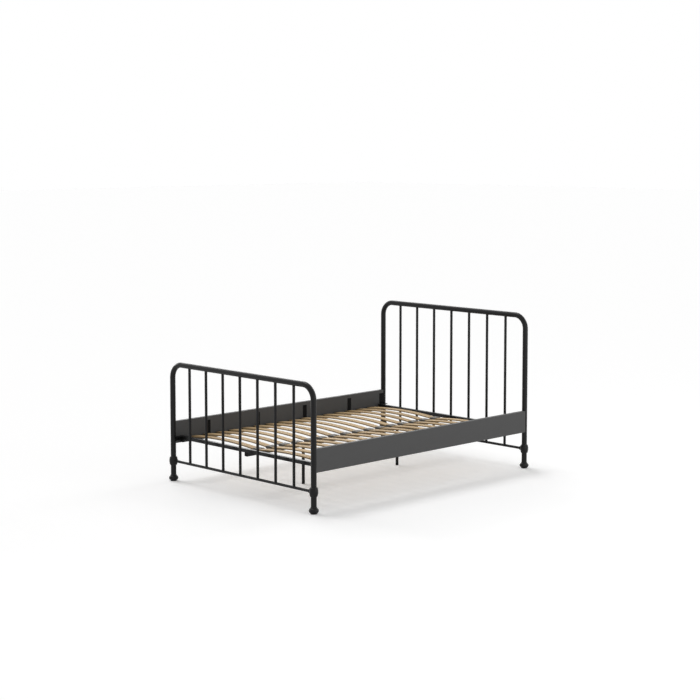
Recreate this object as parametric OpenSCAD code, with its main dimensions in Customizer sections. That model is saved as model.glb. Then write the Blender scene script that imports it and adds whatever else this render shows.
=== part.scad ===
// Metal double bed: two bent-tube end frames, two box side rails and a slat frame on two centre legs.
// Millimetres. The origin is on the floor under the middle of the bed, Z is up, +Y is the headboard end.

/* [Mattress] */

// Width of the mattress the bed takes
mattress_w = 1400; // [1200:50:1600]
// Length of the mattress the bed takes
mattress_l = 2000; // [1900:50:2100]
// Gap between the mattress and each side rail
mattress_side_gap = 3.5; // [2:0.5:8]
// Gap between the mattress and each post
mattress_end_gap = 28.5; // [26:0.5:40]

/* [End frames] */

// Outside diameter of the bent arch tube
arch_d = 38; // [36:0.5:40]
// Wall of the arch tube
arch_wall = 1.5; // [1.2:0.1:2.5]
// Radius of the arch bends, to the middle of the tube
bend_r = 96; // [70:1:120]
// Height of the headboard over everything
headboard_h = 1131; // [950:1:1300]
// Height of the footboard over everything
footboard_h = 843; // [650:1:950]
// Number of spindles in each end frame
spindle_count = 7; // [5:1:9]
// Outside diameter of the spindles
spindle_d = 19; // [16:0.5:20]
// Outside diameter of the lower rails
lower_rail_d = 19; // [18:0.5:22]
// Wall of the spindles and lower rails
thin_wall = 1.2; // [1:0.1:2]
// Height of the lower rails above the floor, to the middle of the tube
lower_rail_z = 142; // [125:1:180]
// Length cut off the sharp tips where a spindle is coped to the lower rail
cope_trim = 2.5; // [2:0.5:4]

/* [Knuckle castings] */

// Largest radius of a knuckle
knuckle_r = 29.5; // [27:0.5:32]
// Radius of a knuckle's rim at its lower end
knuckle_end_r = 24; // [23:0.5:26]
// Height of a knuckle's widest ring above the lower rail
knuckle_wide_z = 1; // [0:1:4]
// Height of a knuckle above the lower rail
knuckle_up = 29; // [24:1:34]
// Depth of a knuckle below the lower rail
knuckle_down = 30; // [26:1:36]
// Rounding of a knuckle's upper and lower rims
knuckle_round = 3.5; // [1:0.5:4]
// Radius of the knuckle's arm behind its bead
arm_r = 12; // [11.5:0.5:14]
// Radius of the arm's root inside the knuckle
arm_root_r = 20; // [18:0.5:22]
// Length of the arm to its bead's neck, from the post's middle
arm_len = 30; // [29:0.5:40]
// Radius of the flare from the arm's root to its neck
arm_flare_r = 14; // [10:0.5:18]
// Radius of the bead's section
bead_r = 4; // [3:0.5:5]

/* [Feet] */

// Height of a foot
foot_h = 46; // [40:1:60]
// Largest radius of a foot
foot_r = 33; // [30:0.5:38]
// Radius of the foot's rounded section
foot_ball_r = 18; // [15:0.5:19]
// Height of the foot's widest ring
foot_ball_z = 21; // [20:0.5:24]
// Radius of the foot's flat base
foot_base_r = 21; // [18:0.5:24]
// Height of the foot's flat base
foot_base_h = 7; // [4:0.5:8]
// Thickness of a foot under the post
foot_floor = 14; // [8:0.5:20]
// Thickness of the foot's collar around the post
foot_collar_t = 3; // [2:0.5:5]
// Thickness of the collar's rim above its cove
foot_rim = 0.6; // [0.4:0.1:1]

/* [Side rails] */

// Height of a side rail
rail_h = 155; // [145:1:180]
// Thickness of a side rail
rail_t = 30; // [26:0.5:32]
// How far a side rail's outer face stands outside the post's middle
rail_outset = 16; // [14:0.5:17]
// Height of the side rails' undersides above the floor
rail_z = 265; // [240:1:300]
// Wall of a side rail
rail_wall = 1.5; // [1.2:0.1:2.5]
// Rounding of a side rail's long edges
rail_round = 2.5; // [1:0.5:5]

/* [Straps] */

// Width of a strap
strap_w = 35; // [25:1:45]
// Width of the strap beside each headboard post
end_strap_w = 42; // [36:1:46]
// How far the end strap reaches past the post's near side
end_strap_tuck = 3.5; // [0:0.5:5]
// Thickness of a strap
strap_t = 3; // [3:0.5:4]
// Height of a strap's top edge above the rail's underside
strap_top = 129; // [110:1:140]
// Height of a strap's foot above the rail's underside
strap_rise = 1; // [0.5:0.5:4]
// Distance between straps
strap_pitch = 467; // [400:1:480]
// Distance from the bed's middle to the strap nearest the footboard
strap_first = 743; // [680:1:780]
// Radius of the strap screws
strap_screw_r = 2.5; // [2:0.25:3]
// Radius of the strap screws' countersunk heads
strap_head_r = 4.5; // [4:0.25:4.75]
// Length of the strap screws inside the rail
strap_screw_grip = 5; // [3:1:10]
// Height of the upper strap screw above the rail's underside
strap_screw_hi = 112; // [100:1:120]
// Height of the lower strap screw above the rail's underside
strap_screw_lo = 66; // [58:1:80]

/* [Slat frame] */

// Width of the slat frame's side tubes
side_tube_w = 25; // [20:1:30]
// Height of the slat frame's side tubes
side_tube_h = 20; // [18:1:25]
// Width and height of the crossbars
crossbar_s = 25; // [22:1:30]
// Width of the centre beam
beam_w = 30; // [25:1:35]
// Height of the centre beam
beam_h = 25; // [20:1:30]
// Wall of the slat frame's tubes
frame_wall = 1.5; // [1.2:0.1:2]
// Rounding of the slat frame's tubes
frame_round = 2; // [1:0.5:3]
// How far the slat frame ends short of the mattress at each end
frame_inset = 3; // [0:0.5:10]
// Thickness of the tube caps' outer plates
cap_t = 2; // [1.5:0.5:3]
// Length of the tube caps' plugs
cap_plug = 12; // [8:1:16]

/* [Corner brackets] */

// Width of a corner bracket, from the rail inwards
bracket_w = 34; // [30:1:40]
// Height of a corner bracket
bracket_h = 30; // [28:1:34]
// Thickness of a corner bracket's walls
bracket_t = 4; // [3:0.5:5]
// Thickness of a corner bracket's wall beside the rail
bracket_side_t = 7; // [6.5:0.5:8]
// How far a corner bracket stands below the crossbar
bracket_drop = 5; // [3:0.5:8]
// Distance from the crossbar to the bolt into the rail
rail_bolt_y = 17; // [14:0.5:18]
// Distance from the post's middle to the bolt into the post
post_bolt_y = 8; // [7.5:0.5:9]
// Radius of the bolts
bolt_r = 4; // [3:0.25:4]
// Radius of the bolts' heads over their corners
bolt_head_r = 7; // [6:0.5:7]
// Height of the bolts' heads
bolt_head_h = 5; // [4:0.5:6]
// Length of the corner bolts
corner_bolt_l = 20; // [16:1:24]

/* [Centre legs] */

// Outside diameter of a centre leg
leg_d = 22; // [20:0.5:25]
// Wall of a centre leg
leg_wall = 1.5; // [1.2:0.1:2]
// Number of slat spacings from the bed's middle to a centre leg
leg_slats = 4; // [3:1:5]
// Height of a glide's pad
glide_h = 20; // [14:0.5:26]
// Radius of a glide's threaded stem
stem_r = 4; // [3:0.25:5]
// Length of a glide's stem that stays in the leg at full travel
stem_grip = 24; // [20:1:30]
// Travel of a glide below the leg
glide_travel = 12; // [8:0.5:14]
// Rounding of a glide's lower edge
glide_round = 2.5; // [1:0.5:4]
// Length of the threaded inserts
insert_l = 26; // [24:1:30]
// Depth of the leg bolt in its insert
leg_bolt_grip = 18; // [12:1:22]

/* [Slats] */

// Width of a slat
slat_w = 55; // [50:1:60]
// Thickness of a slat
slat_t = 9; // [8:0.5:10]
// How far a slat bows up in the middle
slat_rise = 19.5; // [12:0.5:24]
// Rounding of a slat's long edges
slat_round = 3; // [1:0.5:4]
// Half the gap between the two rows
slat_mid_gap = 8; // [5:0.5:10]
// Gap between a slat's outer end and the rail
slat_side_gap = 7.5; // [7.5:0.5:9]
// Distance from the mattress's end to the first slat
slat_end_gap = 95; // [80:1:110]
// How far the slats and centre legs stand towards the footboard from even spacing
slat_shift = 7; // [0:1:15]
// Floor of the slat seats and holders
seat_floor = 2.7; // [2.5:0.1:3.5]
// Wall of the slat seats and holders
seat_wall = 2.7; // [2.2:0.1:3.5]
// Height of a slat seat's lips
seat_h = 8.5; // [7.5:0.5:10]
// Length of a slat holder across the beam
holder_l = 54; // [48:1:60]
// Height of a slat holder
holder_h = 17.5; // [17:0.5:20]
// Rounding of a slat holder's and seat's corners
seat_round = 2; // [1:0.5:2]
// Radius of the pegs under the seats and holders
peg_r = 4; // [3:0.5:5]
// Length of the pegs under the seats and holders
peg_l = 6; // [5:0.5:8]

/* [Fits] */

// Clearance all round a slat in its seat or holder
slat_fit = 0.3; // [0.2:0.05:0.5]
// Radial clearance of screws, bolts, pegs and plugs in their holes
hole_fit = 0.1; // [0.05:0.05:0.3]
// Radial clearance of a glide's stem in its insert
stem_fit = 0.05; // [0.02:0.01:0.1]
// Gap between a glide's pad and the leg when it is screwed right in
pad_gap = 0.3; // [0.2:0.05:0.5]

/* [Hidden] */

slat_count = 16;
arch_r = arch_d / 2;
rail_in = mattress_w / 2 + mattress_side_gap;
post_x = rail_in + rail_t - rail_outset;
post_y = mattress_l / 2 + mattress_end_gap + arch_r;
spindle_pitch = (2 * post_x - arch_d - spindle_count * spindle_d) / (spindle_count + 1) + spindle_d;
strap_in = rail_in - strap_t;
end_strap_y = post_y - arch_r - end_strap_w / 2 + end_strap_tuck;
frame_end = mattress_l / 2 - frame_inset;
side_tube_in = strap_in - side_tube_w;
side_tube_z = rail_z + strap_rise + strap_t;
seat_z = side_tube_z + side_tube_h;
slat_row = mattress_l - 2 * slat_end_gap - slat_w;
slat_pitch = slat_row / (slat_count - 1);
slat_out = rail_in - slat_side_gap;
slat_mid = (slat_mid_gap + slat_out) / 2;
slat_half = (slat_out - slat_mid_gap) / 2;
slat_r = (slat_half * slat_half + slat_rise * slat_rise) / (2 * slat_rise);
slat_turn = asin(slat_half / slat_r);
slat_centre_z = seat_z + seat_floor + slat_fit - (slat_r - slat_t) * cos(slat_turn);
end_turn = 1.2 * holder_l / 2 / slat_r * 180 / PI;
seat_w = slat_w + 2 * slat_fit + 2 * seat_wall;
seat_out = slat_out + slat_fit + seat_wall;
leg_r = leg_d / 2;
beam_z = seat_z - beam_h;
leg_z = glide_h + pad_gap;
stem_l = glide_travel + stem_grip;
bracket_z = seat_z - bracket_drop;
bracket_y = post_y - frame_end;
bolt_z = bracket_z + (bracket_h - bracket_t) / 2;
bead_mid_r = arm_r - bead_r / 2;
knuckle_rise = knuckle_down + knuckle_wide_z;
knuckle_fall = knuckle_r - knuckle_end_r;
knuckle_arc_r = (knuckle_rise * knuckle_rise + knuckle_fall * knuckle_fall) / (2 * knuckle_fall);
eps = 1;
$fn = 72;

// ---- helpers ----

// Rectangle with rounded corners, from its lower left corner.
module round_rect(w, h, r) {
    translate([r, 0]) square([w - 2 * r, h]);
    translate([0, r]) square([w, h - 2 * r]);
    for (x = [r, w - r])
        for (y = [r, h - r])
            translate([x, y]) circle(r);
}

// Extrudes a section drawn in X and Z along Y, about the middle.
module along_y(l) {
    rotate([90, 0, 0]) linear_extrude(l, center = true) children();
}

// Extrudes a section drawn in Y and Z along X, about the middle.
module along_x(l) {
    rotate([90, 0, 90]) linear_extrude(l, center = true) children();
}

// Round bar along +X from the origin.
module rod_x(l, r) {
    rotate([0, 90, 0]) cylinder(h = l, r = r);
}

// Puts its children on the left (-1) or right (+1) side.
module on_side(s) {
    mirror([s < 0 ? 1 : 0, 0, 0]) children();
}

// Puts its children at the foot (-1) or head (+1) end.
module at_end(e) {
    mirror([0, e < 0 ? 1 : 0, 0]) children();
}

// Y position of slat pair n, from the foot end.
function slat_y(n) = (n - (slat_count + 1) / 2) * slat_pitch - slat_shift;

// Y position of the centre leg at the foot (-1) or head (+1) end.
function leg_y(e) = e * leg_slats * slat_pitch - slat_shift;

// Repeats its children at each slat position along the bed.
module each_slat() {
    for (n = [1 : slat_count])
        translate([0, slat_y(n), 0]) children();
}

// ---- end frames ----

// Solid run of the arch: two legs, two bends and the top.
module arch_run(h, r, z) {
    top = h - arch_r;
    for (s = [-1, 1])
        on_side(s) {
            translate([post_x, 0, z]) cylinder(h = top - bend_r - z, r = r);
            translate([post_x - bend_r, 0, top - bend_r])
                rotate([90, 0, 0])
                    rotate_extrude(angle = 90) translate([bend_r, 0]) circle(r);
        }
    translate([bend_r - post_x, 0, top]) rod_x(2 * (post_x - bend_r), r);
}

// Holes in the posts for the corner bolts, at the head end.
module post_bolt_holes() {
    for (s = [-1, 1])
        on_side(s)
            translate([post_x - arch_r - eps, post_y - post_bolt_y, bolt_z])
                rod_x(arch_r + eps, bolt_r + hole_fit);
}

module arch(h) {
    difference() {
        translate([0, post_y, 0])
            difference() {
                arch_run(h, arch_r, foot_floor);
                arch_run(h, arch_r - arch_wall, foot_floor - eps);
            }
        post_bolt_holes();
    }
}

module headboard_arch() {
    color("#1f1f20") arch(headboard_h);
}

module footboard_arch() {
    color("#1f1f20") at_end(-1) arch(footboard_h);
}

// One row of spindles, coped to the arch's top and to the lower rail.
module spindles(h) {
    top = h - arch_r;
    foot = lower_rail_z + cope_trim;
    for (i = [0 : spindle_count - 1])
        translate([(i - (spindle_count - 1) / 2) * spindle_pitch, post_y, 0])
            difference() {
                translate([0, 0, foot]) cylinder(h = top - foot, r = spindle_d / 2);
                translate([0, 0, foot - eps])
                    cylinder(h = top - foot + 2 * eps, r = spindle_d / 2 - thin_wall);
                translate([-spindle_d, 0, top]) rod_x(2 * spindle_d, arch_r);
                translate([-spindle_d, 0, lower_rail_z]) rod_x(2 * spindle_d, lower_rail_d / 2);
            }
}

module headboard_spindles() {
    color("#1f1f20") spindles(headboard_h);
}

module footboard_spindles() {
    color("#1f1f20") at_end(-1) spindles(footboard_h);
}

// Lower rail, coped to both posts.
module lower_rail() {
    translate([0, post_y, 0])
        difference() {
            translate([-post_x, 0, lower_rail_z]) rod_x(2 * post_x, lower_rail_d / 2);
            translate([-post_x - eps, 0, lower_rail_z])
                rod_x(2 * post_x + 2 * eps, lower_rail_d / 2 - thin_wall);
            for (s = [-1, 1])
                translate([s * post_x, 0, lower_rail_z - arch_r]) cylinder(h = arch_d, r = arch_r);
        }
}

module headboard_lower_rail() {
    color("#1f1f20") lower_rail();
}

module footboard_lower_rail() {
    color("#1f1f20") at_end(-1) lower_rail();
}

// Radius of a knuckle's bulging side at height z above the lower rail.
function knuckle_side(z) =
    knuckle_r - knuckle_arc_r + sqrt(knuckle_arc_r * knuckle_arc_r - pow(z - knuckle_wide_z, 2));

// Half section of a knuckle's body: a bulging side between two rounded rims.
module knuckle_section() {
    intersection() {
        translate([knuckle_r - knuckle_arc_r, knuckle_wide_z]) circle(knuckle_arc_r, $fn = 360);
        translate([0, knuckle_round - knuckle_down])
            square([knuckle_r + eps, knuckle_up + knuckle_down - 2 * knuckle_round]);
    }
    for (z = [knuckle_round - knuckle_down, knuckle_up - knuckle_round]) {
        translate([knuckle_side(z) - knuckle_round, z]) circle(knuckle_round);
        translate([0, z - knuckle_round])
            square([knuckle_side(z) - knuckle_round, 2 * knuckle_round]);
    }
}

// Half section of the flared arm and its bead, along the arm's own axis.
module arm_section() {
    difference() {
        square([arm_root_r, arm_len]);
        translate([arm_r + arm_flare_r, arm_len]) circle(arm_flare_r);
    }
    square([arm_r, arm_len + 3 * bead_r]);
    translate([bead_mid_r, arm_len + 2 * bead_r]) circle(bead_r);
}

// Knuckle at the right head post: body, arm and bores for post and lower rail.
module knuckle() {
    translate([post_x, post_y, lower_rail_z])
        difference() {
            union() {
                rotate_extrude() knuckle_section();
                rotate([0, -90, 0]) rotate_extrude() arm_section();
            }
            translate([0, 0, -knuckle_down - eps])
                cylinder(h = knuckle_down + knuckle_up + 2 * eps, r = arch_r);
            translate([-post_x, 0, 0]) rod_x(post_x, lower_rail_d / 2);
        }
}

module post_knuckles() {
    color("#1b1b1c")
        for (e = [-1, 1])
            at_end(e)
                for (s = [-1, 1])
                    on_side(s) knuckle();
}

// Half section of a foot: flat base, rounded ball and a coved collar.
module foot_section() {
    square([foot_base_r, foot_base_h]);
    intersection() {
        translate([foot_r - foot_ball_r, foot_ball_z]) circle(foot_ball_r);
        square([foot_r, foot_h]);
    }
    translate([0, foot_ball_z - foot_ball_r]) square([foot_r - foot_ball_r, 2 * foot_ball_r]);
    square([arch_r + foot_collar_t, foot_h - foot_collar_t]);
    difference() {
        square([arch_r + foot_collar_t, foot_h]);
        translate([arch_r + foot_collar_t, foot_h]) circle(foot_collar_t - foot_rim);
    }
}

module foot() {
    translate([post_x, post_y, 0])
        difference() {
            rotate_extrude() foot_section();
            translate([0, 0, foot_floor]) cylinder(h = foot_h, r = arch_r);
        }
}

module ball_feet() {
    color("#1b1b1c")
        for (e = [-1, 1])
            at_end(e)
                for (s = [-1, 1])
                    on_side(s) foot();
}

// ---- side rails and straps ----

// Y positions of the straps, from the foot end.
function strap_ys() = [for (i = [0 : 3]) i * strap_pitch - strap_first];

// Box rail on the right, coped to both posts and drilled for screws and bolts.
module side_rail() {
    difference() {
        translate([rail_in, 0, rail_z])
            along_y(2 * post_y)
                difference() {
                    round_rect(rail_t, rail_h, rail_round);
                    translate([rail_wall, rail_wall])
                        round_rect(rail_t - 2 * rail_wall, rail_h - 2 * rail_wall, rail_round / 2);
                }
        for (e = [-1, 1])
            at_end(e) {
                translate([post_x, post_y, rail_z - eps]) cylinder(h = rail_h + 2 * eps, r = arch_r);
                translate([rail_in - eps, frame_end + rail_bolt_y, bolt_z])
                    rod_x(rail_wall + 2 * eps, bolt_r + hole_fit);
            }
        each_strap_screw() rod_x(strap_t + rail_wall + eps, strap_screw_r + hole_fit);
    }
}

module side_rail_left() {
    color("#4c4d4d") on_side(-1) side_rail();
}

module side_rail_right() {
    color("#4c4d4d") side_rail();
}

// Repeats its children at every strap screw on the right, their origin on the strap's face.
module each_strap_screw() {
    for (y = concat(strap_ys(), [end_strap_y]))
        for (z = [strap_screw_lo, strap_screw_hi])
            translate([strap_in, y, rail_z + z]) children();
}

// One strap: an upright on the rail and a foot under the slat frame's side tube.
module strap(y, w) {
    translate([strap_in, y - w / 2, rail_z + strap_rise]) cube([strap_t, w, strap_top - strap_rise]);
    translate([side_tube_in, y - w / 2, rail_z + strap_rise]) cube([side_tube_w + eps, w, strap_t]);
}

module rail_straps() {
    color("#0c0c0c")
        for (s = [-1, 1])
            on_side(s)
                difference() {
                    union() {
                        for (y = strap_ys())
                            strap(y, strap_w);
                        strap(end_strap_y, end_strap_w);
                    }
                    each_strap_screw() strap_screw(hole_fit);
                    translate([strap_in - eps, frame_end + rail_bolt_y, bolt_z])
                        rod_x(strap_t + 2 * eps, bolt_r + hole_fit);
                }
}

// Countersunk screw pointing along +X, its head flush with the origin, grown all round by g.
module strap_screw(g) {
    rod_x(strap_t + rail_wall + strap_screw_grip, strap_screw_r + g);
    rotate([0, 90, 0])
        cylinder(h = strap_head_r - strap_screw_r, r1 = strap_head_r + g, r2 = strap_screw_r + g);
}

module strap_screws() {
    color("#141414")
        for (s = [-1, 1])
            on_side(s) each_strap_screw() strap_screw(0);
}

// ---- corner brackets ----

// Bracket between crossbar, rail and post, at the right head corner, open below and inwards.
module corner_bracket(e) {
    difference() {
        translate([rail_in - bracket_w, frame_end, bracket_z]) cube([bracket_w, bracket_y, bracket_h]);
        translate([rail_in - bracket_w - eps, frame_end + bracket_t, bracket_z - eps])
            cube([bracket_w + eps - bracket_side_t, bracket_y, bracket_h + eps - bracket_t]);
        translate([post_x, post_y, bracket_z - eps]) cylinder(h = bracket_h + 2 * eps, r = arch_r);
        if (e > 0)
            translate([strap_in, frame_end - eps, bracket_z - eps])
                cube([strap_t + eps, end_strap_y + end_strap_w / 2 + hole_fit + eps - frame_end,
                    bracket_h + 2 * eps]);
        for (y = [frame_end + rail_bolt_y, post_y - post_bolt_y])
            translate([rail_in - bracket_w, y, bolt_z]) rod_x(bracket_w + eps, bolt_r + hole_fit);
    }
}

module corner_brackets() {
    color("#0f0f0f")
        for (e = [-1, 1])
            at_end(e)
                for (s = [-1, 1])
                    on_side(s) corner_bracket(e);
}

// Hex-headed bolt pointing along +X, its head's seat at the origin.
module hex_bolt(l) {
    rod_x(l, bolt_r);
    translate([-bolt_head_h, 0, 0]) rotate([0, 90, 0]) cylinder(h = bolt_head_h, r = bolt_head_r, $fn = 6);
}

module corner_bolts() {
    color("#141414")
        for (e = [-1, 1])
            at_end(e)
                for (s = [-1, 1])
                    on_side(s)
                        for (y = [frame_end + rail_bolt_y, post_y - post_bolt_y])
                            translate([rail_in - bracket_side_t, y, bolt_z]) hex_bolt(corner_bolt_l);
}

// ---- slat frame ----

// Section of a rectangular tube, from its lower left corner.
module tube_section(w, h) {
    difference() {
        round_rect(w, h, frame_round);
        translate([frame_wall, frame_wall])
            round_rect(w - 2 * frame_wall, h - 2 * frame_wall, frame_round / 2);
    }
}

module slat_frame_side() {
    difference() {
        translate([side_tube_in, 0, side_tube_z])
            along_y(2 * (frame_end - cap_t)) tube_section(side_tube_w, side_tube_h);
        each_slat()
            translate([side_tube_in + side_tube_w / 2, 0, seat_z - frame_wall - eps])
                cylinder(h = frame_wall + 2 * eps, r = peg_r + hole_fit);
    }
}

module slat_frame_side_left() {
    color("#1f1f20") on_side(-1) slat_frame_side();
}

module slat_frame_side_right() {
    color("#1f1f20") slat_frame_side();
}

module crossbar() {
    translate([0, frame_end - crossbar_s, seat_z])
        along_x(2 * (strap_in - cap_t)) tube_section(crossbar_s, crossbar_s);
}

module slat_frame_crossbar_head() {
    color("#1f1f20") crossbar();
}

module slat_frame_crossbar_foot() {
    color("#1f1f20") at_end(-1) crossbar();
}

module centre_beam() {
    color("#1f1f20")
        difference() {
            translate([-beam_w / 2, 0, beam_z])
                along_y(2 * (frame_end - cap_t)) tube_section(beam_w, beam_h);
            each_slat()
                translate([0, 0, seat_z - frame_wall - eps])
                    cylinder(h = frame_wall + 2 * eps, r = peg_r + hole_fit);
            for (e = [-1, 1])
                translate([0, leg_y(e), beam_z - eps])
                    cylinder(h = beam_h + 2 * eps, r = bolt_r + hole_fit);
        }
}

// Cap for a tube of this section: the outer plate ends at Z = 0 and the plug points down.
module tube_cap(w, h) {
    plug_in = frame_wall + hole_fit;
    translate([0, 0, -cap_t]) linear_extrude(cap_t) round_rect(w, h, frame_round);
    translate([plug_in, plug_in, -cap_t - cap_plug])
        linear_extrude(cap_plug)
            difference() {
                round_rect(w - 2 * plug_in, h - 2 * plug_in, frame_round / 2);
                translate([cap_t, cap_t])
                    square([w - 2 * plug_in - 2 * cap_t, h - 2 * plug_in - 2 * cap_t]);
            }
}

module tube_end_caps() {
    color("#161616")
        for (e = [-1, 1])
            at_end(e) {
                translate([-beam_w / 2, frame_end, beam_z + beam_h])
                    rotate([-90, 0, 0]) tube_cap(beam_w, beam_h);
                for (s = [-1, 1])
                    on_side(s) {
                        translate([side_tube_in, frame_end, side_tube_z + side_tube_h])
                            rotate([-90, 0, 0]) tube_cap(side_tube_w, side_tube_h);
                        translate([strap_in, frame_end - crossbar_s, seat_z])
                            rotate([90, 0, 90]) tube_cap(crossbar_s, crossbar_s);
                    }
            }
}

// ---- centre legs ----

module centre_leg(e) {
    translate([0, leg_y(e), leg_z])
        difference() {
            cylinder(h = beam_z - leg_z, r = leg_r);
            translate([0, 0, -eps]) cylinder(h = beam_z - leg_z + 2 * eps, r = leg_r - leg_wall);
        }
}

module centre_leg_head() {
    color("#1f1f20") centre_leg(1);
}

module centre_leg_foot() {
    color("#1f1f20") centre_leg(-1);
}

// Bolts down through the beam into the legs' upper inserts.
module leg_bolts() {
    color("#141414")
        for (e = [-1, 1])
            translate([0, leg_y(e), seat_z]) rotate([0, 90, 0]) hex_bolt(beam_h + leg_bolt_grip);
}

module leg_thread_inserts() {
    color("#3a3a3a")
        for (e = [-1, 1])
            translate([0, leg_y(e), 0]) {
                difference() {
                    translate([0, 0, leg_z]) cylinder(h = insert_l, r = leg_r - leg_wall);
                    translate([0, 0, leg_z - eps])
                        cylinder(h = insert_l + 2 * eps, r = stem_r + stem_fit);
                }
                difference() {
                    translate([0, 0, beam_z - insert_l]) cylinder(h = insert_l, r = leg_r - leg_wall);
                    translate([0, 0, beam_z - insert_l - eps])
                        cylinder(h = insert_l + 2 * eps, r = bolt_r + hole_fit);
                }
            }
}

// Glide: a round pad on the floor with a threaded stem up inside the leg.
module levelling_glide(e) {
    translate([0, leg_y(e), 0]) {
        rotate_extrude() {
            translate([0, glide_round]) square([leg_r, glide_h - glide_round]);
            square([leg_r - glide_round, glide_h]);
            translate([leg_r - glide_round, glide_round]) circle(glide_round);
        }
        cylinder(h = glide_h + stem_l, r = stem_r);
    }
}

module levelling_glide_head() {
    color("#0a0a0a") levelling_glide(1);
}

module levelling_glide_foot() {
    color("#0a0a0a") levelling_glide(-1);
}

// ---- slats ----

// Sweep of a slat's section about its bow's middle, from its outer end inwards, grown all round by g.
module slat_sweep(g, turn) {
    start = slat_turn + g / slat_r * 180 / PI;
    rotate([90, 0, 0])
        rotate([0, 0, 90 - start])
            rotate_extrude(angle = turn, $fn = 720)
                translate([slat_r - slat_t - g, -slat_w / 2 - g])
                    round_rect(slat_t + 2 * g, slat_w + 2 * g, slat_round, $fn = 48);
}

// Space for the outer end of a slat on the right.
module outer_end_space() {
    translate([slat_mid, 0, slat_centre_z]) slat_sweep(slat_fit, end_turn);
}

// Space for the inner end of a slat on the right.
module inner_end_space() {
    translate([slat_mid, 0, slat_centre_z]) mirror([1, 0, 0]) slat_sweep(slat_fit, end_turn);
}

// Open seat for a slat's outer end, on the right side tube.
module slat_seat() {
    difference() {
        union() {
            translate([side_tube_in, -seat_w / 2, seat_z])
                linear_extrude(seat_h) round_rect(seat_out - side_tube_in, seat_w, seat_round);
            translate([side_tube_in + side_tube_w / 2, 0, seat_z - peg_l]) cylinder(h = peg_l, r = peg_r);
        }
        outer_end_space();
    }
}

module slat_seats() {
    color("#101010")
        for (s = [-1, 1])
            on_side(s) each_slat() slat_seat();
}

// Double holder for the inner ends of a pair of slats, on the beam.
module slat_holder() {
    difference() {
        union() {
            translate([-holder_l / 2, -seat_w / 2, seat_z])
                linear_extrude(holder_h) round_rect(holder_l, seat_w, seat_round);
            translate([0, 0, seat_z - peg_l]) cylinder(h = peg_l, r = peg_r);
        }
        for (s = [-1, 1])
            on_side(s) inner_end_space();
    }
}

module centre_slat_holders() {
    color("#78746e") each_slat() slat_holder();
}

// Slat number n from the foot end, on the left (-1) or right (+1).
module slat(s, n) {
    color("#b4a594")
        on_side(s)
            translate([slat_mid, slat_y(n), slat_centre_z])
                slat_sweep(0, 2 * slat_turn);
}

// ---- nodes ----

headboard_arch();
footboard_arch();
headboard_spindles();
footboard_spindles();
headboard_lower_rail();
footboard_lower_rail();
post_knuckles();
ball_feet();
side_rail_left();
side_rail_right();
rail_straps();
strap_screws();
corner_brackets();
corner_bolts();
slat_frame_side_left();
slat_frame_side_right();
slat_frame_crossbar_head();
slat_frame_crossbar_foot();
centre_beam();
tube_end_caps();
centre_leg_head();
centre_leg_foot();
leg_bolts();
leg_thread_inserts();
levelling_glide_head();
levelling_glide_foot();
slat_seats();
centre_slat_holders();
slat(-1, 1);  // slat_left_01
slat(-1, 2);  // slat_left_02
slat(-1, 3);  // slat_left_03
slat(-1, 4);  // slat_left_04
slat(-1, 5);  // slat_left_05
slat(-1, 6);  // slat_left_06
slat(-1, 7);  // slat_left_07
slat(-1, 8);  // slat_left_08
slat(-1, 9);  // slat_left_09
slat(-1, 10);  // slat_left_10
slat(-1, 11);  // slat_left_11
slat(-1, 12);  // slat_left_12
slat(-1, 13);  // slat_left_13
slat(-1, 14);  // slat_left_14
slat(-1, 15);  // slat_left_15
slat(-1, 16);  // slat_left_16
slat(1, 1);  // slat_right_01
slat(1, 2);  // slat_right_02
slat(1, 3);  // slat_right_03
slat(1, 4);  // slat_right_04
slat(1, 5);  // slat_right_05
slat(1, 6);  // slat_right_06
slat(1, 7);  // slat_right_07
slat(1, 8);  // slat_right_08
slat(1, 9);  // slat_right_09
slat(1, 10);  // slat_right_10
slat(1, 11);  // slat_right_11
slat(1, 12);  // slat_right_12
slat(1, 13);  // slat_right_13
slat(1, 14);  // slat_right_14
slat(1, 15);  // slat_right_15
slat(1, 16);  // slat_right_16
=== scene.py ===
"""Looks of a double bed frame of steel tube: coats, plywood, plastic, welds, light and camera."""

import logging
import math
from collections.abc import Callable
from dataclasses import dataclass, field
from enum import Enum

import bpy
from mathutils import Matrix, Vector


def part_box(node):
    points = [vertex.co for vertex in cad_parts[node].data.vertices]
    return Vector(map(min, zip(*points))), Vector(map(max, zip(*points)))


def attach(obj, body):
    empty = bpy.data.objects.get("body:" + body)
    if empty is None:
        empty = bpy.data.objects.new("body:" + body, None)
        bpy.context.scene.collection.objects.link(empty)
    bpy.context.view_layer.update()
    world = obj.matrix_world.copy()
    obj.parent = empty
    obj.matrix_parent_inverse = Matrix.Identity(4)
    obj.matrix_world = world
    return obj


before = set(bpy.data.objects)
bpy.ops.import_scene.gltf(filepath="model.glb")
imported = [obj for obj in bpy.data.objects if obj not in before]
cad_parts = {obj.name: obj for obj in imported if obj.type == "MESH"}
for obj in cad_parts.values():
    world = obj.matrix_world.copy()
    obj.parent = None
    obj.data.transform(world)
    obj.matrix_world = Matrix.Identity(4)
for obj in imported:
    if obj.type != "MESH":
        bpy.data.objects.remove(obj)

Colour = tuple[float, float, float, float]
Triple = tuple[float, float, float]
Faces = list[tuple[int, ...]]
Socket = bpy.types.NodeSocket

log = logging.getLogger("bed_frame")

MILLIMETRE = 0.001
WHITE: Colour = (1.0, 1.0, 1.0, 1.0)
SLAT_PREFIXES = ("slat_left", "slat_right")
TUBE_PREFIXES = ("headboard_", "footboard_", "slat_frame_", "centre_beam", "centre_leg")


class End(Enum):
    """Which end frame a piece belongs to, as the start of its nodes' names."""

    HEAD = "headboard"
    FOOT = "footboard"


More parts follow.
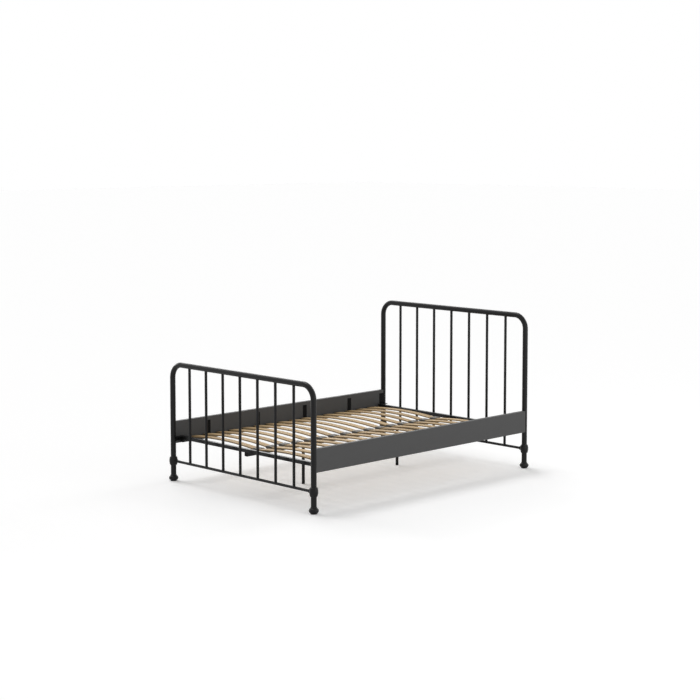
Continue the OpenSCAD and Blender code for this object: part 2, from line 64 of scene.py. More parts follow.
class Body(Enum):
    """The rigid body that the added pieces ride on."""

    FRAME = "frame"


class Kind(Enum):
    """What a socket of a node group carries."""

    NUMBER = "NodeSocketFloat"
    COLOUR = "NodeSocketColor"


class Group(Enum):
    """The shared node groups, by name."""

    COAT_SKIN = "Coat skin"
    EDGE_RUB = "Edge rub"
    SETTLED_DUST = "Settled dust"
    BIRCH_VENEER = "Birch veneer"
    PLY_LAYERS = "Ply layers"
    MOULDED_SKIN = "Moulded skin"


def srgb(red: int, green: int, blue: int) -> Colour:
    """Turns 8-bit display values into a linear colour.

    Args:
        red: Red, 0 to 255.
        green: Green, 0 to 255.
        blue: Blue, 0 to 255.

    Returns:
        The linear colour with full alpha.
    """
    full, knee, slope, lift, power = 255, 0.04045, 12.92, 0.055, 2.4

    def channel(value: int) -> float:
        """Linear value of one channel."""
        v = value / full
        return v / slope if v <= knee else ((v + lift) / (1 + lift)) ** power

    return (channel(red), channel(green), channel(blue), 1.0)


def add_object(name: str, data: bpy.types.ID) -> bpy.types.Object:
    """Makes an object and links it to the scene.

    Args:
        name: The object's name.
        data: Its mesh, lamp or camera.

    Returns:
        The new object.
    """
    made = bpy.data.objects.new(name, data)
    bpy.context.scene.collection.objects.link(made)
    return made


class Graph:
    """Small helper that adds and joins the nodes of one node tree."""

    def __init__(self, tree: bpy.types.NodeTree) -> None:
        """Keeps the tree that nodes go into."""
        self.tree = tree

    def node(self, kind: str, **settings: object) -> bpy.types.Node:
        """Adds a node.

        Args:
            kind: Blender's name for the node type.
            **settings: Attributes to set on the node.

        Returns:
            The new node.
        """
        made = self.tree.nodes.new(kind)
        for key, value in settings.items():
            setattr(made, key, value)
        return made

    def feed(self, socket: Socket, value: object) -> None:
        """Joins a socket to another socket, or gives it a plain value.

        Args:
            socket: The input socket.
            value: An output socket, or the value to set.
        """
        if isinstance(value, bpy.types.NodeSocket):
            self.tree.links.new(value, socket)
        else:
            socket.default_value = value

    def math(self, operation: str, *values: object, clamp: bool = False) -> Socket:
        """Adds a Math node.

        Args:
            operation: The operation's name.
            *values: Sockets or numbers for its inputs.
            clamp: Whether the result is held between 0 and 1.

        Returns:
            The result socket.
        """
        made = self.node("ShaderNodeMath", operation=operation, use_clamp=clamp)
        for socket, value in zip(made.inputs, values):
            self.feed(socket, value)
        return made.outputs[0]

    def plus(self, first: object, second: object, clamp: bool = False) -> Socket:
        """Adds two values."""
        return self.math("ADD", first, second, clamp=clamp)

    def minus(self, first: object, second: object) -> Socket:
        """Takes the second value from the first."""
        return self.math("SUBTRACT", first, second)

    def times(self, first: object, second: object, clamp: bool = False) -> Socket:
        """Multiplies two values."""
        return self.math("MULTIPLY", first, second, clamp=clamp)

    def magnitude(self, value: Socket) -> Socket:
        """Drops a value's sign."""
        return self.math("ABSOLUTE", value)

    def ramp(
        self, value: Socket, low: float, high: float, to_low: float = 0.0, to_high: float = 1.0
    ) -> Socket:
        """Maps a value smoothly from one range to another.

        Args:
            value: The value to map.
            low: Start of the range it comes from.
            high: End of the range it comes from.
            to_low: Result at the start.
            to_high: Result at the end.

        Returns:
            The mapped value.
        """
        made = self.node("ShaderNodeMapRange", interpolation_type="SMOOTHSTEP")
        self.feed(made.inputs["Value"], value)
        self.feed(made.inputs["From Min"], low)
        self.feed(made.inputs["From Max"], high)
        self.feed(made.inputs["To Min"], to_low)
        self.feed(made.inputs["To Max"], to_high)
        return made.outputs["Result"]

    def mix(self, factor: object, first: object, second: object, blend: str = "MIX") -> Socket:
        """Mixes two colours.

        Args:
            factor: Share of the second colour.
            first: First colour or socket.
            second: Second colour or socket.
            blend: Name of the blend mode.

        Returns:
            The mixed colour.
        """
        made = self.node("ShaderNodeMix", data_type="RGBA", blend_type=blend)
        self.feed(made.inputs["Factor"], factor)
        self.feed(made.inputs["A"], first)
        self.feed(made.inputs["B"], second)
        return next(s for s in made.outputs if s.type == "RGBA")

    def tint(self, colour: Socket, shade: Socket) -> Socket:
        """Makes a colour darker or lighter.

        Args:
            colour: The colour.
            shade: What to multiply it by, 1 for no change.

        Returns:
            The new colour.
        """
        grey = self.node("ShaderNodeCombineColor")
        for socket in grey.inputs:
            self.feed(socket, shade)
        return self.mix(1.0, colour, grey.outputs[0], "MULTIPLY")

    def split(self, vector: Socket) -> tuple[Socket, Socket, Socket]:
        """Splits a vector into its parts.

        Args:
            vector: The vector.

        Returns:
            Its X, Y and Z.
        """
        made = self.node("ShaderNodeSeparateXYZ")
        self.feed(made.inputs[0], vector)
        return made.outputs["X"], made.outputs["Y"], made.outputs["Z"]

    def join(self, *values: object) -> Socket:
        """Joins values into a vector.

        Args:
            *values: X, Y and Z as sockets or numbers, in that order. Those left out are 0.

        Returns:
            The vector.
        """
        made = self.node("ShaderNodeCombineXYZ")
        for socket, value in zip(made.inputs, values):
            self.feed(socket, value)
        return made.outputs[0]

    def noise(
        self, where: Socket, scale: object, detail: float = 2.0, roughness: float = 0.5
    ) -> Socket:
        """Adds a noise texture.

        Args:
            where: The coordinates.
            scale: Repeats in a metre, as a number or a socket.
            detail: Octaves.
            roughness: Weight of the finer octaves.

        Returns:
            The noise value.
        """
        made = self.node("ShaderNodeTexNoise")
        self.feed(made.inputs["Vector"], where)
        self.feed(made.inputs["Scale"], scale)
        self.feed(made.inputs["Detail"], detail)
        self.feed(made.inputs["Roughness"], roughness)
        return made.outputs[0]

    def place(self) -> Socket:
        """Returns the point's place in the bed's own frame, in metres."""
        return self.node("ShaderNodeTexCoord").outputs["Object"]

    def normal(self) -> Socket:
        """Returns the way the surface faces."""
        return self.node("ShaderNodeNewGeometry").outputs["Normal"]

    def seen(self) -> Socket:
        """Marks what the camera sees, straight or through gloss or glass.

        Returns:
            A mask of 1 for those rays and 0 for all others.
        """
        path = self.node("ShaderNodeLightPath").outputs
        direct = self.math("MAXIMUM", path["Is Camera Ray"], path["Is Glossy Ray"])
        return self.math("MAXIMUM", direct, path["Is Transmission Ray"])


class Library:
    """Shader node groups shared by the finishes, each built once."""

    MIDDLE = 0.5  # mean value of a noise

    def __init__(self) -> None:
        """Starts with no group built."""
        self.groups: dict[Group, bpy.types.NodeTree] = {}
        self.builders: dict[Group, Callable[[], None]] = {
            Group.COAT_SKIN: self.coat_skin,
            Group.EDGE_RUB: self.edge_rub,
            Group.SETTLED_DUST: self.settled_dust,
            Group.BIRCH_VENEER: self.birch_veneer,
            Group.PLY_LAYERS: self.ply_layers,
            Group.MOULDED_SKIN: self.moulded_skin,
        }

    def start(
        self, group: Group, inputs: dict[str, Kind], outputs: dict[str, Kind]
    ) -> tuple[Graph, dict[str, Socket]]:
        """Starts a group.

        Args:
            group: Which group.
            inputs: Input names and what they carry.
            outputs: Output names and what they carry.

        Returns:
            Its graph and its input sockets by name.
        """
        tree = bpy.data.node_groups.new(group.value, "ShaderNodeTree")
        for key, kind in inputs.items():
            tree.interface.new_socket(name=key, in_out="INPUT", socket_type=kind.value)
        for key, kind in outputs.items():
            tree.interface.new_socket(name=key, in_out="OUTPUT", socket_type=kind.value)
        graph = Graph(tree)
        entry = graph.node("NodeGroupInput")
        self.groups[group] = tree
        return graph, {key: entry.outputs[key] for key in inputs}

    def close(self, graph: Graph, results: dict[str, Socket]) -> None:
        """Joins a group's results to its output.

        Args:
            graph: The group's graph.
            results: Sockets by output name.
        """
        leave = graph.node("NodeGroupOutput")
        for key, socket in results.items():
            graph.feed(leave.inputs[key], socket)

    def use(self, graph: Graph, group: Group, values: dict[str, object]) -> dict[str, Socket]:
        """Places a group in a material, building it the first time.

        Args:
            graph: The material's graph.
            group: Which group.
            values: Values or sockets by input name.

        Returns:
            The group's outputs by name.
        """
        if group not in self.groups:
            self.builders[group]()
        made = graph.node("ShaderNodeGroup", node_tree=self.groups[group])
        for key, value in values.items():
            graph.feed(made.inputs[key], value)
        return {s.name: s for s in made.outputs}

    def coat_skin(self) -> None:
        """Powder coat: soft mottling in colour and gloss over a fine orange peel."""
        graph, given = self.start(
            Group.COAT_SKIN,
            {
                "Colour": Kind.COLOUR, "Mottle": Kind.NUMBER, "Roughness": Kind.NUMBER,
                "Spread": Kind.NUMBER, "Peel Scale": Kind.NUMBER,
            },
            {"Colour": Kind.COLOUR, "Roughness": Kind.NUMBER, "Height": Kind.NUMBER},
        )
        broad_share, fine_share = 0.6, 0.4
        where = graph.place()
        broad = graph.noise(where, scale=5.0, detail=3.0)
        fine = graph.noise(where, scale=60.0, detail=3.0, roughness=0.6)
        both = graph.plus(graph.times(broad, broad_share), graph.times(fine, fine_share))
        swing = graph.minus(both, self.MIDDLE)
        shade = graph.plus(1.0, graph.times(swing, given["Mottle"]))
        rough = graph.plus(given["Roughness"], graph.times(swing, given["Spread"]), clamp=True)
        peel = graph.noise(where, given["Peel Scale"], detail=2.0)
        tinted = graph.tint(given["Colour"], shade)
        self.close(graph, {"Colour": tinted, "Roughness": rough, "Height": peel})

    def edge_rub(self) -> None:
        """Mask of edges where a coat rubs thin, broken up by noise."""
        graph, given = self.start(
            Group.EDGE_RUB, {"Radius": Kind.NUMBER, "Amount": Kind.NUMBER}, {"Mask": Kind.NUMBER}
        )
        rounded = graph.node("ShaderNodeBevel", samples=4)
        graph.feed(rounded.inputs["Radius"], given["Radius"])
        turned = graph.node("ShaderNodeVectorMath", operation="DOT_PRODUCT")
        graph.feed(turned.inputs[0], rounded.outputs[0])
        graph.feed(turned.inputs[1], graph.normal())
        edge = graph.ramp(turned.outputs["Value"], low=0.995, high=0.8)
        blotches = graph.noise(graph.place(), scale=35.0, detail=4.0, roughness=0.6)
        patchy = graph.ramp(blotches, low=0.38, high=0.68)
        mask = graph.times(graph.times(edge, patchy), given["Amount"], clamp=True)
        self.close(graph, {"Mask": mask})

    def settled_dust(self) -> None:
        """Mask of light dust on faces that look up."""
        graph, given = self.start(
            Group.SETTLED_DUST, {"Amount": Kind.NUMBER}, {"Mask": Kind.NUMBER}
        )
        _, _, rise = graph.split(graph.normal())
        up = graph.ramp(rise, low=0.55, high=1.0)
        blotches = graph.noise(graph.place(), scale=18.0, detail=5.0, roughness=0.65)
        patchy = graph.ramp(blotches, low=0.3, high=0.75)
        mask = graph.times(graph.times(up, patchy), given["Amount"], clamp=True)
        self.close(graph, {"Mask": mask})

    def birch_veneer(self) -> None:
        """Rotary-cut birch: long soft figure, fine pores and a tone of its own for each slat."""
        graph, given = self.start(
            Group.BIRCH_VENEER,
            {
                "Pale": Kind.COLOUR, "Dark": Kind.COLOUR,
                "Pitch": Kind.NUMBER, "Contrast": Kind.NUMBER,
            },
            {"Colour": Kind.COLOUR, "Fibre": Kind.NUMBER},
        )
        along, across, tone_shift = 1.6, 26.0, 40.0
        pore_along, pore_across = 22.0, 900.0
        figure_share, fibre_share, tone_share = 0.5, 0.3, 0.7
        x, y, z = graph.split(graph.place())
        row = graph.math("FLOOR", graph.math("DIVIDE", y, given["Pitch"]))
        own = graph.node("ShaderNodeTexWhiteNoise", noise_dimensions="3D")
        graph.feed(own.inputs["Vector"], graph.join(row, graph.math("SIGN", x)))
        tone = own.outputs["Value"]
        moved = graph.plus(graph.times(y, across), graph.times(tone, tone_shift))
        long_way = graph.join(graph.times(x, along), moved, graph.times(z, across))
        figure = graph.noise(long_way, scale=2.2, detail=4.0, roughness=0.55)
        hair = graph.join(
            graph.times(x, pore_along), graph.times(y, pore_across), graph.times(z, pore_across)
        )
        fibre = graph.noise(hair, scale=1.0, detail=3.0, roughness=0.6)
        bands = graph.times(graph.ramp(figure, low=0.35, high=0.7), figure_share)
        grained = graph.plus(bands, graph.times(fibre, fibre_share))
        toned = graph.times(graph.minus(tone, self.MIDDLE), tone_share)
        share = graph.times(graph.plus(grained, toned), given["Contrast"], clamp=True)
        colour = graph.mix(share, given["Pale"], given["Dark"])
        self.close(graph, {"Colour": colour, "Fibre": fibre})

    def ply_layers(self) -> None:
        """Dark glue lines and alternate veneers on a bowed slat's long edges."""
        graph, given = self.start(
            Group.PLY_LAYERS,
            {
                "Middle": Kind.NUMBER, "Centre Height": Kind.NUMBER,
                "Inner Radius": Kind.NUMBER, "Veneer": Kind.NUMBER,
            },
            {"Mask": Kind.NUMBER, "Line": Kind.NUMBER},
        )
        x, _, z = graph.split(graph.place())
        across = graph.minus(graph.magnitude(x), given["Middle"])
        up = graph.minus(z, given["Centre Height"])
        squares = graph.plus(graph.times(across, across), graph.times(up, up))
        above = graph.minus(graph.math("SQRT", squares), given["Inner Radius"])
        depth = graph.math("DIVIDE", above, given["Veneer"])
        turn = graph.math("SINE", graph.times(depth, math.pi))
        line = graph.ramp(graph.magnitude(turn), low=0.35, high=0.0)
        _, facing, _ = graph.split(graph.normal())
        side = graph.ramp(graph.magnitude(facing), low=0.6, high=0.9)
        layer = graph.ramp(turn, low=-0.4, high=0.4)
        self.close(graph, {"Mask": graph.times(side, layer), "Line": graph.times(side, line)})

    def moulded_skin(self) -> None:
        """Moulded plastic: a spark-eroded grain and faint flow marks."""
        graph, given = self.start(
            Group.MOULDED_SKIN,
            {"Colour": Kind.COLOUR, "Roughness": Kind.NUMBER, "Grain Scale": Kind.NUMBER},
            {"Colour": Kind.COLOUR, "Roughness": Kind.NUMBER, "Height": Kind.NUMBER},
        )
        spread = 0.2
        where = graph.place()
        flow = graph.noise(where, scale=22.0, detail=3.0)
        grain = graph.noise(where, given["Grain Scale"], detail=3.0, roughness=0.7)
        shade = graph.ramp(flow, low=0.25, high=0.75, to_low=0.9, to_high=1.1)
        swing = graph.times(graph.minus(grain, self.MIDDLE), spread)
        rough = graph.plus(given["Roughness"], swing, clamp=True)
        tinted = graph.tint(given["Colour"], shade)
        self.close(graph, {"Colour": tinted, "Roughness": rough, "Height": grain})


@dataclass
class SlatBow:
    """The bow of a slat, read from one slat's own box."""

    node: str = "slat_right_01"
    thickness: float = 0.009
    pitch: float = field(init=False)
    middle: float = field(init=False)
    centre_height: float = field(init=False)
    inner_radius: float = field(init=False)

    def __post_init__(self) -> None:
        """Works out the arc's radius and middle from the slat's box."""
        low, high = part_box(self.node)
        after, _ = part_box("slat_right_02")
        self.pitch = after[1] - low[1]
        self.middle = (low[0] + high[0]) / 2
        half = (high[0] - low[0]) / 2
        drop = high[2] - low[2] - self.thickness
        radius = (half * half + drop * drop) / (2 * drop)
        self.centre_height = high[2] - radius
        self.inner_radius = radius - self.thickness


@dataclass(frozen=True)
class Finish:
    """What every finish has: name, colour, roughness, relief in metres and level of gloss."""

    name: str
    colour: Colour
    roughness: float
    relief: float
    specular: float = 0.15

    def shader(self) -> tuple[bpy.types.Material, Graph, bpy.types.Node]:
        """Makes a material whose Principled shader has only its level of gloss set.

        Returns:
            The material, its graph and the shader node.
        """
        material = bpy.data.materials.new(self.name)
        material.use_nodes = True
        graph = Graph(material.node_tree)
        shader = next(n for n in material.node_tree.nodes if n.type == "BSDF_PRINCIPLED")
        shader.inputs["Specular IOR Level"].default_value = self.specular
        material.diffuse_color = self.colour
        return material, graph, shader

    def bump(self, graph: Graph, shader: bpy.types.Node, height: Socket) -> None:
        """Joins a height to the shader's normal through one Bump node.

        Args:
            graph: The material's graph.
            shader: The Principled shader.
            height: The height socket.
        """
        made = graph.node("ShaderNodeBump")
        made.inputs["Strength"].default_value = 1.0
        made.inputs["Distance"].default_value = self.relief
        graph.feed(made.inputs["Height"], height)
        graph.feed(shader.inputs["Normal"], made.outputs[0])


@dataclass(frozen=True)
class PowderCoat(Finish):
    """Satin powder coat on steel, with rubbed edges and a little dust."""

    mottle: float = 0.35
    spread: float = 0.18
    peel_scale: float = 420.0
    rub: float = 0.2
    rub_colour: Colour = srgb(120, 120, 120)
    rub_radius: float = 1.5 * MILLIMETRE
    dust: float = 0.06
    dust_colour: Colour = srgb(150, 148, 142)

    def make(self, library: Library) -> bpy.types.Material:
        """Builds the material.

        Args:
            library: The shared node groups.

        Returns:
            The material.
        """
        material, graph, shader = self.shader()
        skin = library.use(graph, Group.COAT_SKIN, {
            "Colour": self.colour, "Mottle": self.mottle, "Roughness": self.roughness,
            "Spread": self.spread, "Peel Scale": self.peel_scale,
        })
        rub = library.use(graph, Group.EDGE_RUB, {"Radius": self.rub_radius, "Amount": self.rub})
        dust = library.use(graph, Group.SETTLED_DUST, {"Amount": self.dust})
        rubbed = graph.mix(rub["Mask"], skin["Colour"], self.rub_colour)
        dusted = graph.mix(dust["Mask"], rubbed, self.dust_colour)
        graph.feed(shader.inputs["Base Color"], dusted)
        graph.feed(shader.inputs["Roughness"], skin["Roughness"])
        self.bump(graph, shader, skin["Height"])
        return material


@dataclass(frozen=True)
class Plywood(Finish):
    """Lacquered birch plywood, with its layers on the long edges of the slats."""

    bow: SlatBow = field(kw_only=True)
    dark: Colour = srgb(156, 128, 90)
    edge: Colour = srgb(136, 111, 74)
    glue: Colour = srgb(78, 62, 44)
    glue_share: float = 0.7
    veneer: float = 1.5 * MILLIMETRE
    contrast: float = 0.8
    gloss_swing: float = 0.08

    def make(self, library: Library) -> bpy.types.Material:
        """Builds the material.

        Args:
            library: The shared node groups.

        Returns:
            The material.
        """
        material, graph, shader = self.shader()
        face = library.use(graph, Group.BIRCH_VENEER, {
            "Pale": self.colour, "Dark": self.dark,
            "Pitch": self.bow.pitch, "Contrast": self.contrast,
        })
        layers = library.use(graph, Group.PLY_LAYERS, {
            "Middle": self.bow.middle, "Centre Height": self.bow.centre_height,
            "Inner Radius": self.bow.inner_radius, "Veneer": self.veneer,
        })
        layered = graph.mix(layers["Mask"], face["Colour"], self.edge)
        lined = graph.mix(graph.times(layers["Line"], self.glue_share), layered, self.glue)
        graph.feed(shader.inputs["Base Color"], lined)
        rough = graph.ramp(
            face["Fibre"], low=0.3, high=0.7,
            to_low=self.roughness - self.gloss_swing, to_high=self.roughness + self.gloss_swing,
        )
        graph.feed(shader.inputs["Roughness"], rough)
        self.bump(graph, shader, face["Fibre"])
        return material


@dataclass(frozen=True)
class Plastic(Finish):
    """Moulded plastic with a fine grain."""

    grain_scale: float = 900.0
    dust: float = 0.08
    dust_colour: Colour = srgb(140, 138, 134)

    def make(self, library: Library) -> bpy.types.Material:
        """Builds the material.

        Args:
            library: The shared node groups.

        Returns:
            The material.
        """
        material, graph, shader = self.shader()
        skin = library.use(graph, Group.MOULDED_SKIN, {
            "Colour": self.colour, "Roughness": self.roughness, "Grain Scale": self.grain_scale,
        })
        dust = library.use(graph, Group.SETTLED_DUST, {"Amount": self.dust})
        dusted = graph.mix(dust["Mask"], skin["Colour"], self.dust_colour)
        graph.feed(shader.inputs["Base Color"], dusted)
        graph.feed(shader.inputs["Roughness"], skin["Roughness"])
        self.bump(graph, shader, skin["Height"])
        return material


@dataclass
class Finishes:
    """All the bed's finishes, made once."""

    library: Library
    tube: bpy.types.Material = field(init=False)
    casting: bpy.types.Material = field(init=False)
    rail: bpy.types.Material = field(init=False)
    strap_shade: bpy.types.Material = field(init=False)
    black_plastic: bpy.types.Material = field(init=False)
    grey_plastic: bpy.types.Material = field(init=False)
    plywood: bpy.types.Material = field(init=False)

    def __post_init__(self) -> None:
        """Makes each material from its values."""
        self.tube = PowderCoat(
            "coat_tube", srgb(26, 26, 27), roughness=0.3, relief=0.004 * MILLIMETRE,
            specular=0.2, mottle=0.15, rub=0.1,
        ).make(self.library)
        self.casting = PowderCoat(
            "coat_casting", srgb(28, 28, 29), roughness=0.32, relief=0.05 * MILLIMETRE,
            specular=0.2, mottle=0.4, rub=0.3, peel_scale=230.0,
        ).make(self.library)
        self.rail = PowderCoat(
            "coat_rail", srgb(93, 93, 93), roughness=0.5, relief=0.012 * MILLIMETRE,
            mottle=0.15, rub=0.25,
        ).make(self.library)
        # Near-black, almost glossless coat for the straps, brackets and bolts. This is painted
        # shade: it is darker than the tubes' coat so these pieces render as the deep shade of the
        # rail's recesses and corner gaps.
        self.strap_shade = PowderCoat(
            "coat_strap_painted_shade", srgb(15, 15, 15), roughness=0.6, relief=0.05 * MILLIMETRE,
            specular=0.08, dust=0.0,
        ).make(self.library)
        self.black_plastic = Plastic(
            "plastic_black", srgb(24, 24, 25), roughness=0.6, relief=0.05 * MILLIMETRE
        ).make(self.library)
        self.grey_plastic = Plastic(
            "plastic_grey", srgb(122, 118, 112), roughness=0.6, relief=0.05 * MILLIMETRE
        ).make(self.library)
        self.plywood = Plywood(
            "birch_plywood", srgb(203, 174, 131), roughness=0.55, relief=0.03 * MILLIMETRE,
            bow=SlatBow(),
        ).make(self.library)


@dataclass
class Dressing:
    """Gives the solid nodes their finishes."""

    finishes: Finishes

    def paint(self, names: list[str], material: bpy.types.Material) -> None:
        """Puts a material on some nodes.

        Args:
            names: The nodes' names.
            material: The material.
        """
        for name in names:
            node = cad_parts[name]
            if not node.material_slots:
                node.data.materials.append(material)
            for slot in node.material_slots:
                slot.material = material
            log.info("dressed %s in %s", name, material.name)

    def dress(self) -> None:
        """Dresses every node of the bed."""
        nodes = list(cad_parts)
        f = self.finishes
        self.paint([n for n in nodes if n.startswith(SLAT_PREFIXES)], f.plywood)
        self.paint([n for n in nodes if n.startswith(TUBE_PREFIXES)], f.tube)
        self.paint(["post_knuckles", "ball_feet"], f.casting)
        self.paint(["side_rail_left", "side_rail_right"], f.rail)
        # Straps, brackets and bolts get the near-black coat, which paints in the shade of the
        # recesses and corner gaps.
        self.paint(["rail_straps", "strap_screws", "corner_brackets"], f.strap_shade)
        self.paint(["corner_bolts", "leg_bolts"], f.strap_shade)
        self.paint(["tube_end_caps", "leg_thread_inserts", "slat_seats"], f.black_plastic)
        self.paint(["levelling_glide_head", "levelling_glide_foot"], f.black_plastic)
        self.paint(["centre_slat_holders"], f.grey_plastic)


@dataclass
class SpindleWelds:
    """Rippled weld beads round the ends of the spindles of one end frame."""

    end: End
    finishes: Finishes
    count: int = 7
    bead: float = 1.5 * MILLIMETRE
    ripple_share: float = 0.12
    ripples: int = 11
    ripple_shift: float = 37.0
    steps: int = 40
    section: int = 8
    arch_radius: float = field(init=False)
    spindle_radius: float = field(init=False)

    def __post_init__(self) -> None:
        """Reads the tubes' sizes from the nodes' boxes."""
        low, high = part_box(self.name("arch"))
        self.arch_radius = (high[1] - low[1]) / 2
        low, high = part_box(self.name("spindles"))
        self.spindle_radius = (high[1] - low[1]) / 2

    def name(self, piece: str) -> str:
        """Name of this end frame's node for a piece."""
        return f"{self.end.value}_{piece}"

    def ring(self, centre: Vector, tube_radius: float, side: int) -> tuple[list[Vector], Faces]:
        """Builds one bead along the line where a spindle meets a tube that lies along X.

        Args:
            centre: Where the spindle's axis crosses the tube's axis.
            tube_radius: Radius of that tube.
            side: -1 for a spindle below the tube, 1 for one above it.

        Returns:
            The bead's vertices and faces.
        """
        points, faces = [], []
        for i in range(self.steps):
            turn = 2 * math.pi * i / self.steps
            out = Vector((math.cos(turn), math.sin(turn), 0.0))
            across = self.spindle_radius * out.y
            rise = math.sqrt(max(tube_radius**2 - across**2, 0.0))
            seat = centre + out * self.spindle_radius + Vector((0, 0, side * rise))
            wave = math.sin(turn * self.ripples + centre.x * self.ripple_shift)
            ripple = self.bead * (1.0 + self.ripple_share * wave)
            for j in range(self.section):
                angle = 2 * math.pi * j / self.section
                up = Vector((0, 0, ripple * math.sin(angle)))
                points.append(seat + out * (ripple * math.cos(angle)) + up)
                a = i * self.section + j
                b = i * self.section + (j + 1) % self.section
                c = (i + 1) % self.steps * self.section + (j + 1) % self.section
                d = (i + 1) % self.steps * self.section + j
                faces.append((a, b, c, d))
        return points, faces

    def build(self) -> None:
        """Builds the beads at the top and bottom of each spindle as one mesh."""
        low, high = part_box(self.name("spindles"))
        arch_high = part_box(self.name("arch"))[1]
        rail_low, rail_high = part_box(self.name("lower_rail"))
        top = arch_high[2] - self.arch_radius
        foot = (rail_low[2] + rail_high[2]) / 2
        foot_radius = (rail_high[2] - rail_low[2]) / 2
        depth = (low[1] + high[1]) / 2
        first = low[0] + self.spindle_radius
        pitch = (high[0] - low[0] - 2 * self.spindle_radius) / (self.count - 1)
        points: list[Vector] = []
        faces: Faces = []
        for i in range(self.count):
            for height, radius, side in ((top, self.arch_radius, -1), (foot, foot_radius, 1)):
                more, loops = self.ring(Vector((first + i * pitch, depth, height)), radius, side)
                faces += [tuple(k + len(points) for k in loop) for loop in loops]
                points += more
        mesh = bpy.data.meshes.new(self.name("spindle_welds"))
        mesh.from_pydata(points, [], faces)
        mesh.polygons.foreach_set("use_smooth", [True] * len(mesh.polygons))
        piece = add_object(self.name("spindle_welds"), mesh)
        mesh.materials.append(self.finishes.tube)
        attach(piece, Body.FRAME.value)
        log.info("built %s", piece.name)


@dataclass(frozen=True)
class Lamp:
    """A soft distant lamp: its turn from straight down and its disc's width, both in degrees."""

    name: str
    turn: Triple
    strength: float
    spread: float

    def build(self) -> None:
        """Adds the lamp to the scene."""
        data = bpy.data.lights.new(self.name, "SUN")
        data.energy = self.strength
        data.angle = math.radians(self.spread)
        made = add_object(self.name, data)
        made.rotation_euler = [math.radians(v) for v in self.turn]


LAMPS = (
    Lamp("overhead_lamp", turn=(-25.0, 0.0, 90.0), strength=0.98, spread=30.0),
    Lamp("left_lamp", turn=(-75.0, 0.0, 90.0), strength=0.98, spread=20.0),
    Lamp("back_lamp", turn=(-68.0, 0.0, 0.0), strength=0.50, spread=20.0),
    Lamp("back_left_lamp", turn=(-68.0, 0.0, 60.0), strength=0.58, spread=28.0),
)


@dataclass(frozen=True)
class Softbox:
    """A near soft panel of light, aimed at a point: sizes in metres, power in watts."""

    name: str
    place: Triple
    aim: Triple
    width: float
    height: float
    power: float

    def build(self) -> None:
        """Adds the panel to the scene, unseen by the camera."""
        data = bpy.data.lights.new(self.name, "AREA")
        data.shape = "RECTANGLE"
        data.size = self.width
        data.size_y = self.height
        data.energy = self.power
        made = add_object(self.name, data)
        made.location = self.place
        beam = Vector(self.aim) - Vector(self.place)
        made.rotation_euler = beam.to_track_quat("-Z", "Y").to_euler()
        made.visible_camera = False


SOFTBOXES = (
    Softbox(
        "side_softbox", place=(4.5, 0.8, 1.5), aim=(0.0, 0.0, 0.4),
        width=4.0, height=2.4, power=36.0,
    ),
)


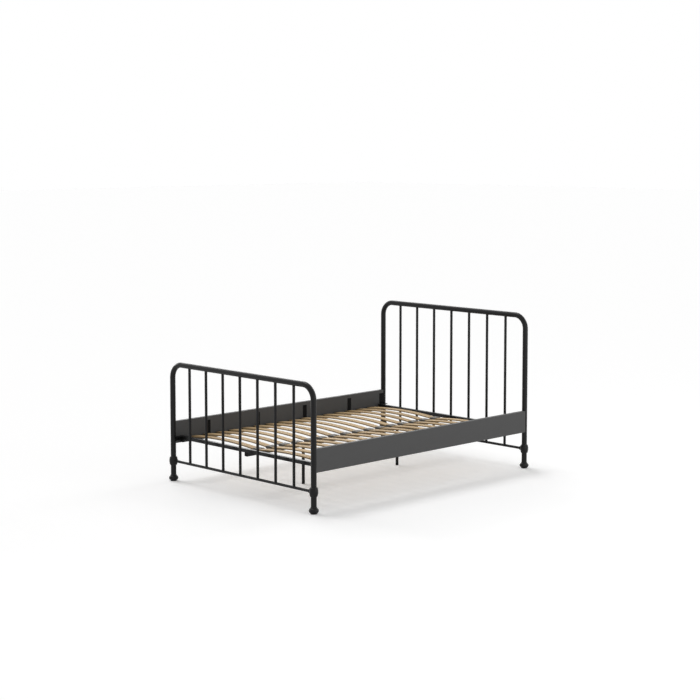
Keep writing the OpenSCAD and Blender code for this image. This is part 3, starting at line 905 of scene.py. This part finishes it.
@dataclass
class Studio:
    """Pale floor, soft light and the camera, whose lens and sensor are in millimetres."""

    floor_half: float = 60.0
    floor_colour: Colour = (0.97, 0.97, 0.97, 1.0)
    bounce_colour: Colour = (0.7, 0.7, 0.7, 1.0)
    glow: float = 0.2
    sky: float = 0.32
    lamps: tuple[Lamp, ...] = LAMPS
    softboxes: tuple[Softbox, ...] = SOFTBOXES
    lens: float = 83.47
    sensor: float = 36.0
    shift: float = 0.1
    farthest: float = 200.0
    place: Triple = (8.154, -8.007, 2.364)
    azimuth: float = 45.60
    elevation: float = 4.87

    def floor(self) -> None:
        """Lays the floor, white where nothing shades it."""
        r = self.floor_half
        mesh = bpy.data.meshes.new("studio_floor")
        mesh.from_pydata([(-r, -r, 0), (r, -r, 0), (r, r, 0), (-r, r, 0)], [], [(0, 1, 2, 3)])
        slab = add_object("studio_floor", mesh)
        material = bpy.data.materials.new("studio_floor")
        material.use_nodes = True
        tree = material.node_tree
        tree.nodes.clear()
        graph = Graph(tree)
        matt = graph.node("ShaderNodeBsdfDiffuse")
        matt.inputs["Color"].default_value = self.floor_colour
        bounce = graph.node("ShaderNodeBsdfDiffuse")
        bounce.inputs["Color"].default_value = self.bounce_colour
        glow = graph.node("ShaderNodeEmission")
        glow.inputs["Strength"].default_value = self.glow
        bright = graph.node("ShaderNodeAddShader")
        graph.feed(bright.inputs[0], glow.outputs[0])
        graph.feed(bright.inputs[1], matt.outputs[0])
        chosen = graph.node("ShaderNodeMixShader")
        graph.feed(chosen.inputs[0], graph.seen())
        graph.feed(chosen.inputs[1], bounce.outputs[0])
        graph.feed(chosen.inputs[2], bright.outputs[0])
        end = graph.node("ShaderNodeOutputMaterial")
        graph.feed(end.inputs["Surface"], chosen.outputs[0])
        mesh.materials.append(material)

    def light(self) -> None:
        """Sets the even sky and the soft lamps."""
        world = bpy.data.worlds.new("studio_sky")
        bpy.context.scene.world = world
        world.use_nodes = True
        tree = world.node_tree
        tree.nodes.clear()
        graph = Graph(tree)
        strength = graph.plus(self.sky, graph.times(graph.seen(), 1.0 - self.sky))
        back = graph.node("ShaderNodeBackground")
        back.inputs["Color"].default_value = WHITE
        graph.feed(back.inputs["Strength"], strength)
        end = graph.node("ShaderNodeOutputWorld")
        graph.feed(end.inputs["Surface"], back.outputs[0])
        for lamp in (*self.lamps, *self.softboxes):
            lamp.build()

    def camera(self) -> None:
        """Places the camera."""
        level = 90  # tilt in degrees of a camera that looks at the horizon
        data = bpy.data.cameras.new("studio_camera")
        data.lens = self.lens
        data.shift_y = -self.shift
        data.sensor_width = self.sensor
        data.clip_end = self.farthest
        made = add_object("studio_camera", data)
        made.location = self.place
        tilt, turn = math.radians(level - self.elevation), math.radians(self.azimuth)
        made.rotation_euler = (tilt, 0.0, turn)
        bpy.context.scene.camera = made

    def build(self) -> None:
        """Builds the floor, light and camera."""
        bpy.context.scene.view_settings.view_transform = "Standard"
        self.floor()
        self.light()
        self.camera()
        log.info("built the studio")


def main() -> None:
    """Dresses the bed, builds the added pieces and the studio."""
    logging.basicConfig(level=logging.INFO, format="%(name)s: %(message)s")
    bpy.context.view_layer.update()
    finishes = Finishes(Library())
    Dressing(finishes).dress()
    for end in End:
        SpindleWelds(end, finishes).build()
    Studio().build()


if __name__ == "__main__":
    main()
